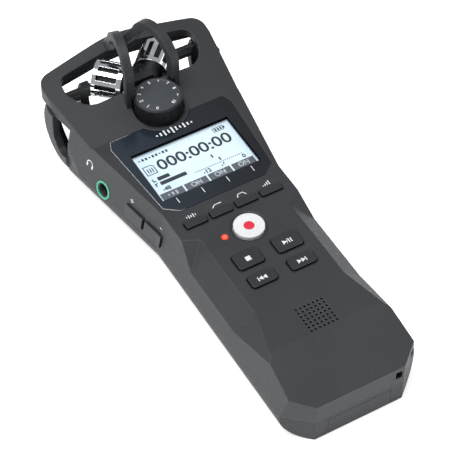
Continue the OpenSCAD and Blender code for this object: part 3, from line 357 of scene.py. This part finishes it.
def wovenMesh(name, side):
    # Woven steel mesh, blackened: real wires are 0.15 mm apart, drawn at 0.6 mm so that they show
    material, tree, place = newMaterial(name)
    turned = addNode(tree, "ShaderNodeMapping", {
        "Vector": place, "Rotation": (0.0, 0.0, side * math.radians(45)),
    })
    axes = addNode(tree, "ShaderNodeSeparateXYZ", {"Vector": turned.outputs[0]})
    step = math.tau * perMetre(0.6)
    first = calc(tree, "SINE", calc(tree, "MULTIPLY", axes.outputs["X"], step))
    second = calc(tree, "SINE", calc(tree, "MULTIPLY", axes.outputs["Z"], step))
    wires = calc(tree, "MAXIMUM", first, second)
    base = blendColors(tree, spread(tree, wires, -0.2, 0.9), hexColor("#050506"), hexColor("#5a5e63"))
    relief = addNode(tree, "ShaderNodeBump", {"Height": wires, "Distance": 0.1 * mm, "Strength": 0.8})
    shader = addNode(tree, "ShaderNodeBsdfPrincipled", {
        "Base Color": base, "Metallic": spread(tree, wires, -0.2, 0.6, 0.0, 1.0), "Roughness": 0.35,
        "Normal": relief.outputs["Normal"],
    })
    finishMaterial(tree, shader.outputs[0])
    return material


def circuitBoard():
    # Glass-fibre board under green solder mask, with paler copper tracks 1.2 mm apart
    material, tree, place = newMaterial("solderMaskedFibreBoard")
    axes = addNode(tree, "ShaderNodeSeparateXYZ", {"Vector": place})
    bend = addNode(tree, "ShaderNodeTexNoise", {"Vector": place, "Scale": perMetre(12)})
    shifted = calc(tree, "ADD", axes.outputs["X"], calc(tree, "MULTIPLY", bend.outputs["Fac"], 6 * mm))
    wave = calc(tree, "SINE", calc(tree, "MULTIPLY", shifted, math.tau * perMetre(1.2)))
    tracks = spread(tree, wave, 0.5, 0.8)
    base = blendColors(tree, tracks, hexColor("#123f24"), hexColor("#1f5c37"))
    relief = addNode(tree, "ShaderNodeBump", {"Height": tracks, "Distance": 0.05 * mm, "Strength": 0.4})
    shader = addNode(tree, "ShaderNodeBsdfPrincipled", {
        "Base Color": base, "Roughness": spread(tree, bend.outputs["Fac"], 0.3, 0.7, 0.25, 0.4),
        "Normal": relief.outputs["Normal"],
    })
    finishMaterial(tree, shader.outputs[0])
    return material


def cellJacket():
    # Shrink-wrapped cell: a plain dark green film with a paler band, bare nickel at both ends
    material, tree, place = newMaterial("shrinkWrappedCellJacket")
    low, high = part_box("battery_left")
    axes = addNode(tree, "ShaderNodeSeparateXYZ", {"Vector": place})
    middle = (low.y + high.y) / 2
    along = calc(tree, "ABSOLUTE", calc(tree, "SUBTRACT", axes.outputs["Y"], middle))
    bare = calc(tree, "GREATER_THAN", along, (high.y - low.y) / 2 - 1.6 * mm)
    band = calc(tree, "GREATER_THAN", axes.outputs["Y"], middle + 8 * mm)
    scuff = addNode(tree, "ShaderNodeTexNoise", {"Vector": place, "Scale": perMetre(4), "Detail": 4.0})
    film = blendColors(tree, band, hexColor("#1c4a33"), hexColor("#c8a23c"))
    film = blendColors(tree, calc(tree, "MULTIPLY", scuff.outputs["Fac"], 0.2), film, hexColor("#0c1a12"))
    shader = addNode(tree, "ShaderNodeBsdfPrincipled", {
        "Base Color": blendColors(tree, bare, film, hexColor("#c4c3bd")), "Metallic": bare,
        "Roughness": spread(tree, scuff.outputs["Fac"], 0.3, 0.7, 0.22, 0.34),
    })
    finishMaterial(tree, shader.outputs[0])
    return material


acrylic = lensAcrylic(lensWindow)
displayGlass = lcdGlass()
darkSegments = lcdInk("displaySegmentsDark", "#2c3237", 0.08)
greySegments = lcdInk("displaySegmentsGrey", "#777e85", 0.16)
paleSegments = lcdInk("displaySegmentsClear", "#e6f1f8", 0.3)
whiteInk = printInk("padPrintedInkWhite", "#eef0f1")
lampLens = litLamp()
board = circuitBoard()
jacket = cellJacket()
print("finishes made")


finishOf = {
    "front_case": frontAbs, "rear_case": rearAbs, "battery_cover": rearAbs, "card_door": frontAbs,
    "display_lens": acrylic, "lcd_panel": displayGlass, "lcd_backlight": diffuserAbs,
    "main_board": board, "mic_board": board, "key_domes": domeSteel,
    "record_key": recordAbs, "record_key_dot": dotAbs, "rec_light": lampLens,
    "gain_pot_shaft": turnedSteel, "gain_pot_body": shieldSteel,
    "speaker": blackNylon, "speaker_gasket": gasketFoam,
    "phones_jack": blackNylon, "phones_jack_ring": phonesRingAbs,
    "line_in_jack": blackNylon, "line_in_jack_ring": lineRingAbs,
    "volume_rocker": keyAbs, "volume_switches": blackNylon,
    "power_slider": keyAbs, "power_switch": blackNylon, "delete_key": keyAbs, "delete_switch": blackNylon,
    "usb_socket": shieldSteel, "card_socket": shieldSteel, "tripod_insert": turnedBrass,
    "mic_bracket": blackNylon, "mic_housing_left": micChrome, "mic_housing_right": micChrome,
    "mic_capsule_left": blackNylon, "mic_capsule_right": blackNylon,
    "mic_mesh_left": wovenMesh("wovenBlackenedMeshLeft", 1),
    "mic_mesh_right": wovenMesh("wovenBlackenedMeshRight", -1),
    "battery_left": jacket, "battery_right": jacket,
    "battery_springs": nickelStrip, "battery_contacts": nickelStrip,
    "case_screws": zincSteel, "board_screws": zincSteel, "gain_dial": dialCapAbs,
}
for key in darkKeys:
    finishOf[key] = keyAbs
for nodeName, node in nodes.items():
    if not node.data.materials:
        node.data.materials.append(None)
    for place in range(len(node.data.materials)):
        node.data.materials[place] = finishOf[nodeName]
print("finishes given to", len(finishOf), "nodes")


def flatBar(x, y, z, width, length, turn=0.0):
    clearSelection()
    bpy.ops.mesh.primitive_plane_add(
        size=1, location=(x * mm, y * mm, z * mm), rotation=(0, 0, math.radians(turn)))
    bar = bpy.context.object
    bar.scale = (width * mm, length * mm, 1)
    return settle(bar)


def flatText(words, x, y, z, height, turn=0.0, stretch=1.0, bold=0.0):
    clearSelection()
    bpy.ops.object.text_add()
    label = bpy.context.object
    label.data.body = words
    label.data.size = height * mm / 0.7
    label.data.align_x = "CENTER"
    label.data.align_y = "CENTER"
    label.data.offset = bold * mm
    bpy.ops.object.convert(target="MESH")
    label = bpy.context.object
    label.matrix_world = (
        Matrix.Translation((x * mm, y * mm, z * mm))
        @ Matrix.Rotation(math.radians(turn), 4, "Z")
        @ Matrix.Diagonal((stretch, 1, 1, 1))
    )
    return settle(label)


def finishPrint(name, parts, material, body):
    piece = joinPieces(name, parts)
    dress(piece, material)
    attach(piece, body)
    return piece


# Display picture: a running timer, two level bars and the captions of the four keys under it
lcdPicture = {"lift": 0.04, "left": -14.7, "right": 14.7, "foot": 9.8, "boxes": 4, "boxHeight": 2.5}


def makeLcdPicture(s):
    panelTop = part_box("lcd_panel")[1].z / mm
    z = panelTop + s["lift"]
    dark = [
        flatText("000:00:00", 1.5, 21.5, z, 3.7, stretch=1.1, bold=0.08),
        flatBar(-10.4, 17.5, z, 3.6, 1.3),
        flatBar(-8.3, 15.7, z, 8.0, 1.3),
        flatBar(4.7, 17.6, z, 0.45, 1.3),
        flatBar(6.2, 15.8, z, 0.45, 1.3),
        flatText("-48", -11.6, 13.4, z, 1.3, bold=0.06),
        flatText("-12", 0.9, 13.4, z, 1.3, bold=0.06),
        flatText("-6", 6.0, 13.4, z, 1.3, bold=0.06),
        flatText("0", 12.4, 13.4, z, 1.3, bold=0.06),
        flatBar(-13.6, 17.5, z, 0.35, 1.2),
        flatBar(-13.2, 17.05, z, 0.7, 0.35),
        flatBar(-13.6, 15.7, z, 0.35, 1.2),
        flatBar(-13.2, 16.15, z, 0.6, 0.35),
    ]
    for i in range(24):
        dark.append(flatBar(-2.0 + i * 0.62, 14.6, z, 0.36, 0.24))
    # card icon at the left of the timer: an outline with one cut corner and two contact lines
    for bar in ((-13.9, 21.4, 0.25, 3.4, 0), (-10.9, 21.0, 0.25, 2.7, 0), (-12.4, 19.75, 3.2, 0.25, 0),
                (-12.7, 23.0, 2.5, 0.25, 0), (-11.2, 22.7, 0.25, 1.0, 45)):
        dark.append(flatBar(bar[0], bar[1], z, bar[2], bar[3], bar[4]))
    for x in (-13.1, -12.4, -11.7):
        dark.append(flatBar(x, 21.2, z, 0.3, 1.7))
    # cell gauge at the top right: an outline with its tip and three full bars
    for bar in ((11.2, 26.3, 3.0, 0.2), (11.2, 24.9, 3.0, 0.2), (9.7, 25.6, 0.2, 1.6),
                (12.7, 25.6, 0.2, 1.6), (13.0, 25.6, 0.4, 0.8), (10.4, 25.6, 0.5, 0.9),
                (11.2, 25.6, 0.5, 0.9), (12.0, 25.6, 0.5, 0.9)):
        dark.append(flatBar(bar[0], bar[1], z, bar[2], bar[3]))
    # a row of plain dashes at the top left
    for i in range(9):
        dark.append(flatBar(-13.5 + i * 1.05, 25.6, z, 0.62, 0.9 if i % 3 else 0.35))
    finishPrint("lcdTimerAndLevels", dark, darkSegments, "case")
    boxes = []
    captions = []
    step = (s["right"] - s["left"]) / s["boxes"]
    boxY = s["foot"] + s["boxHeight"] / 2
    for i in range(s["boxes"]):
        centre = s["left"] + step * (i + 0.5)
        boxes.append(flatBar(centre, boxY, z, step - 0.5, s["boxHeight"]))
        if i == 0:
            for k in range(3):
                captions.append(flatBar(centre - 1.2 + k * 1.2, boxY, z + 0.03, 0.6, 0.5 + 0.5 * k))
        else:
            captions.append(flatText("ON", centre, boxY, z + 0.03, 1.5, bold=0.08))
    finishPrint("lcdKeyCaptionBoxes", boxes, greySegments, "case")
    finishPrint("lcdKeyCaptions", captions, paleSegments, "case")


makeLcdPicture(lcdPicture)
print("display picture made")


# Prints on the window: four lines that lead from the captions to the keys, and a row of wave bars above
lensPrint = {"lift": 0.02, "leadX": (-11.8, -4.1, 3.6, 11.3), "leadY": 6.9, "leadLength": 2.0}


def makeLensPrint(s):
    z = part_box("display_lens")[1].z / mm + s["lift"]
    leads = [flatBar(x, s["leadY"], z, 0.22, s["leadLength"]) for x in s["leadX"]]
    heights = (0.6, 1.2, 2.0, 1.3, 2.4, 1.6, 0.9, 1.8, 1.1, 0.6)
    for i, height in enumerate(heights):
        leads.append(flatBar(-5.4 + i * 1.2, 30.2, z, 0.5, height))
    finishPrint("lensPrintedLines", leads, whiteInk, "case")


makeLensPrint(lensPrint)


# Marks on the front face: a small plain sign over each function key
faceMarks = {"lift": 0.02, "y": 0.35}


def makeFaceMarks(s):
    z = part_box("function_key_1")[1].z / mm - keyStand + s["lift"]
    y = s["y"]
    parts = []
    # sound wave, low-cut slope, flat-topped wave, rising bars
    for i, height in enumerate((0.5, 1.2, 0.8, 1.4, 0.6)):
        parts.append(flatBar(-11.5 - 1.3 + i * 0.65, y, z, 0.26, height))
    parts.append(flatBar(-3.83 - 0.9, y - 0.1, z, 1.3, 0.26, 42))
    parts.append(flatBar(-3.83 + 0.65, y + 0.32, z, 2.0, 0.26))
    parts.append(flatBar(3.83, y + 0.5, z, 1.5, 0.26))
    parts.append(flatBar(3.83 - 1.05, y, z, 1.25, 0.26, 60))
    parts.append(flatBar(3.83 + 1.05, y, z, 1.25, 0.26, -60))
    for i in range(4):
        parts.append(flatBar(11.5 - 1.0 + i * 0.65, y - 0.6 + 0.18 * (i + 1), z, 0.3, 0.36 * (i + 1)))
    finishPrint("functionKeySigns", parts, whiteInk, "case")


makeFaceMarks(faceMarks)


# Signs on the left side: headphones by the jack, plus and minus by the volume rocker
sideSigns = {"lift": 0.03, "phones": (34.6, 13.6), "plus": (16.2, 14.6), "minus": (3.9, 14.6)}


def standOnLeftSide(parts, y, z, lift):
    # the flat sign is turned onto the wall where a level line from the left meets it
    wall = nodes["front_case"]
    _, point, normal, _ = wall.ray_cast(Vector((-0.06, y * mm, z * mm)), Vector((1, 0, 0)))
    across = (Vector((0, -1, 0)) - normal * normal.dot(Vector((0, -1, 0)))).normalized()
    upward = normal.cross(across)
    turned = Matrix((across, upward, normal)).transposed().to_4x4()
    turned.translation = point + normal * lift * mm
    for part in parts:
        part.data.transform(turned)
    return parts


def makeSideSigns(s):
    band = []
    for i in range(9):
        angle = math.pi * i / 8
        band.append(flatBar(1.15 * math.cos(angle), 1.15 * math.sin(angle), 0, 0.3, 0.5, math.degrees(angle)))
    for side in (-1, 1):
        band.append(flatBar(side * 1.1, -0.5, 0, 0.6, 1.2))
    signs = standOnLeftSide(band, *s["phones"], s["lift"])
    plus = [flatBar(0, 0, 0, 1.3, 0.28), flatBar(0, 0, 0, 0.28, 1.3)]
    signs += standOnLeftSide(plus, *s["plus"], s["lift"])
    signs += standOnLeftSide([flatBar(0, 0, 0, 1.3, 0.28)], *s["minus"], s["lift"])
    finishPrint("leftSideSigns", signs, whiteInk, "case")


makeSideSigns(sideSigns)


# Transport signs on the keys: stop, play with pause, back and forward
keySigns = {"lift": 0.02, "size": 1.5}


def flatTriangle(x, y, z, size, turn):
    clearSelection()
    bpy.ops.mesh.primitive_circle_add(
        vertices=3, radius=size * mm, fill_type="NGON", location=(x * mm, y * mm, z * mm),
        rotation=(0, 0, math.radians(turn)))
    return settle(bpy.context.object)


def keyTop(node):
    low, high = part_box(node)
    return (low.x + high.x) / 2 / mm, (low.y + high.y) / 2 / mm, high.z / mm


def makeKeySigns(s):
    size = s["size"]
    x, y, z = keyTop("stop_key")
    z += s["lift"]
    finishPrint("stopKeySign", [flatBar(x, y, z, size, size)], whiteInk, "stop_key")
    x, y, z = keyTop("play_key")
    z += s["lift"]
    parts = [
        flatTriangle(x - 0.9, y, z, 0.85, -90),
        flatBar(x + 0.55, y, z, 0.3, 1.4),
        flatBar(x + 1.2, y, z, 0.3, 1.4),
        flatBar(x, y, z, 0.16, 1.6, -20),
    ]
    finishPrint("playKeySign", parts, whiteInk, "play_key")
    for name, side in (("rewind_key", -1), ("forward_key", 1)):
        x, y, z = keyTop(name)
        z += s["lift"]
        parts = [
            flatTriangle(x - side * 0.85, y, z, 0.8, -90 * side),
            flatTriangle(x + side * 0.35, y, z, 0.8, -90 * side),
            flatBar(x + side * 1.25, y, z, 0.28, 1.35),
        ]
        finishPrint(name.replace("_key", "") + "KeySign", parts, whiteInk, name)


makeKeySigns(keySigns)
print("prints made")


# Painted shadow round each key: a thin black ring sheet laid on the case face where the deep gap between key
# and case lies in shade
keyGapShade = {"lift": 0.015, "gap": 0.3, "width": 0.32, "corner": 0.9, "softCorner": 0.45, "foot": 1.1}


def makeWebLip(s):
    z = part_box("function_key_1")[1].z / mm - keyStand + s["lift"]
    rings = []
    for key in darkKeys:
        x, y, _ = keyTop(key)
        # the hidden foot of a key is wider than the cap that shows
        low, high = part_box(key)
        wider = 2 * (s["gap"] + s["width"]) - s["foot"]
        ring = flatBar(x, y, z, (high.x - low.x) / mm + wider, (high.y - low.y) / mm + wider)
        corner = s["softCorner"] if key.startswith("function") else s["corner"]
        editPiece(ring, lambda f: True,
                  lambda: bpy.ops.mesh.bevel(offset=(corner + s["gap"]) * mm, segments=5, affect="VERTICES"),
                  lambda: bpy.ops.mesh.select_all(action="SELECT"),
                  lambda: bpy.ops.mesh.inset(thickness=s["width"] * mm),
                  lambda: bpy.ops.mesh.delete(type="FACE"))
        rings.append(ring)
    finishPrint("keyGapPaintedShadow", rings, blackNylon, "case")


makeWebLip(keyGapShade)
print("painted key gap shadow made")


# Gain dial: a ribbed side with a chamfered cap, numbered round its rim
dial = {
    "ribs": 72, "ribDepth": 0.22, "capRadius": 6.35, "capDish": 0.06,
    "numbers": 11, "numberReach": 5.1, "sweep": 300,
}


def makeDial(s):
    low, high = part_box("gain_dial")
    radius = (high.x - low.x) / 2 / mm
    centreX = (low.x + high.x) / 2 / mm
    centreY = (low.y + high.y) / 2 / mm
    depth = (high.z - low.z) / mm
    top = high.z / mm
    clearSelection()
    bpy.ops.mesh.primitive_cylinder_add(
        vertices=s["ribs"] * 2, radius=radius * mm, depth=depth * mm,
        location=(centreX * mm, centreY * mm, (low.z + high.z) / 2))
    side = takeNew("gainDialRibbedSide")
    settle(side)
    # the top edge slopes in to the cap
    editPiece(side, lambda f: f.normal.z > 0.9,
              lambda: bpy.ops.mesh.inset(thickness=(radius - s["capRadius"]) * mm),
              lambda: bpy.ops.mesh.inset(thickness=0.15 * mm, depth=-0.1 * mm))
    for vertex in side.data.vertices:
        reach = math.hypot(vertex.co.x - centreX * mm, vertex.co.y - centreY * mm)
        if vertex.co.z > (top - 0.05) * mm and reach > (s["capRadius"] + 0.2) * mm:
            vertex.co.z -= 0.4 * mm
    # every second side face is sunk to leave the ribs standing
    count = s["ribs"] * 2

    def everySecond(face):
        if abs(face.normal.z) > 0.1 or face.area < 1e-9:
            return False
        angle = math.atan2(face.center.y - centreY * mm, face.center.x - centreX * mm)
        return int(math.floor(angle / math.tau * count)) % 2 == 0

    editPiece(side, everySecond,
              lambda: bpy.ops.mesh.inset(thickness=0.05 * mm, depth=-s["ribDepth"] * mm, use_individual=True))
    dress(side, dialRubber)
    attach(side, "gain_dial")
    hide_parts("gain_dial")
    clearSelection()
    bpy.ops.mesh.primitive_cylinder_add(
        vertices=96, radius=(s["capRadius"] - 0.1) * mm, depth=0.5 * mm,
        location=(centreX * mm, centreY * mm, (top - 0.25) * mm))
    cap = takeNew("gainDialCap")
    settle(cap)
    editPiece(cap, lambda f: f.normal.z > 0.9, lambda: bpy.ops.mesh.bevel(offset=0.12 * mm, segments=2))
    editPiece(cap, lambda f: f.normal.z > 0.9 and f.area > 1e-6,
              lambda: bpy.ops.mesh.inset(thickness=0.35 * mm),
              lambda: bpy.ops.mesh.inset(thickness=0.1 * mm, depth=-s["capDish"] * mm))
    dress(cap, dialCapAbs)
    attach(cap, "gain_dial")
    marks = []
    for i in range(s["numbers"]):
        angle = math.radians(240 - i * s["sweep"] / (s["numbers"] - 1))
        x = centreX + s["numberReach"] * math.cos(angle)
        y = centreY + s["numberReach"] * math.sin(angle)
        marks.append(flatText(str(i), x, y, top - 0.03, 0.95, turn=math.degrees(angle) - 90, bold=0.04))
    finishPrint("gainDialNumbers", marks, whiteInk, "gain_dial")


makeDial(dial)
print("dial made")


def floorCard():
    # Matte studio card: near white with a very slight tooth
    material, tree, place = newMaterial("matteStudioCard")
    tooth = addNode(tree, "ShaderNodeTexNoise", {"Vector": place, "Scale": perMetre(2.5), "Detail": 3.0})
    base = blendColors(tree, tooth.outputs["Fac"], hexColor("#f6f6f6"), hexColor("#fcfcfc"))
    shader = addNode(tree, "ShaderNodeBsdfPrincipled", {
        "Base Color": base, "Roughness": spread(tree, tooth.outputs["Fac"], 0.3, 0.7, 0.75, 0.85),
        "Emission Color": base, "Emission Strength": 0.62,
    })
    finishMaterial(tree, shader.outputs[0])
    return material


clearSelection()
bpy.ops.mesh.primitive_plane_add(size=6, location=(0, 0, -0.0003))
floor = takeNew("studioFloor")
settle(floor)
dress(floor, floorCard())

softBoxes = {
    # name: place, size, power, aimed at the middle of the object
    "overheadSoftBox": {"at": (-0.25, 0.05, 1.0), "size": 0.5, "power": 7.5},
    "leftSoftBox": {"at": (-0.9, 0.25, 0.35), "size": 0.6, "power": 1.6},
    "rightSoftBox": {"at": (0.9, -0.1, 0.6), "size": 0.5, "power": 1.2},
}
target = Vector((0, 0, 0.015))
for lampName, s in softBoxes.items():
    clearSelection()
    bpy.ops.object.light_add(type="AREA", location=s["at"])
    lamp = bpy.context.object
    lamp.name = lampName
    lamp.data.size = s["size"]
    lamp.data.energy = s["power"]
    lamp.rotation_euler = (target - Vector(s["at"])).to_track_quat("-Z", "Y").to_euler()

world = bpy.data.worlds.new("studioSurround")
bpy.context.scene.world = world
world.use_nodes = True
world.node_tree.nodes["Background"].inputs["Color"].default_value = hexColor("#fbfcff")
world.node_tree.nodes["Background"].inputs["Strength"].default_value = 0.45

cameraView = {
    "at": (-0.1775, -0.3027, 0.4200), "lookAt": (-0.0038, 0.0002, 0.0110),
    "lens": 159.9, "shiftX": 0.0188,
}
clearSelection()
bpy.ops.object.camera_add(location=cameraView["at"])
camera = bpy.context.object
camera.name = "studioCamera"
aim = Vector(cameraView["lookAt"]) - Vector(cameraView["at"])
camera.rotation_euler = aim.to_track_quat("-Z", "Y").to_euler()
camera.data.lens = cameraView["lens"]
camera.data.sensor_width = 36
camera.data.shift_x = cameraView["shiftX"]
camera.data.clip_start = 0.01
camera.data.clip_end = 20
bpy.context.scene.camera = camera
bpy.context.scene.view_settings.view_transform = "Standard"
print("studio made")
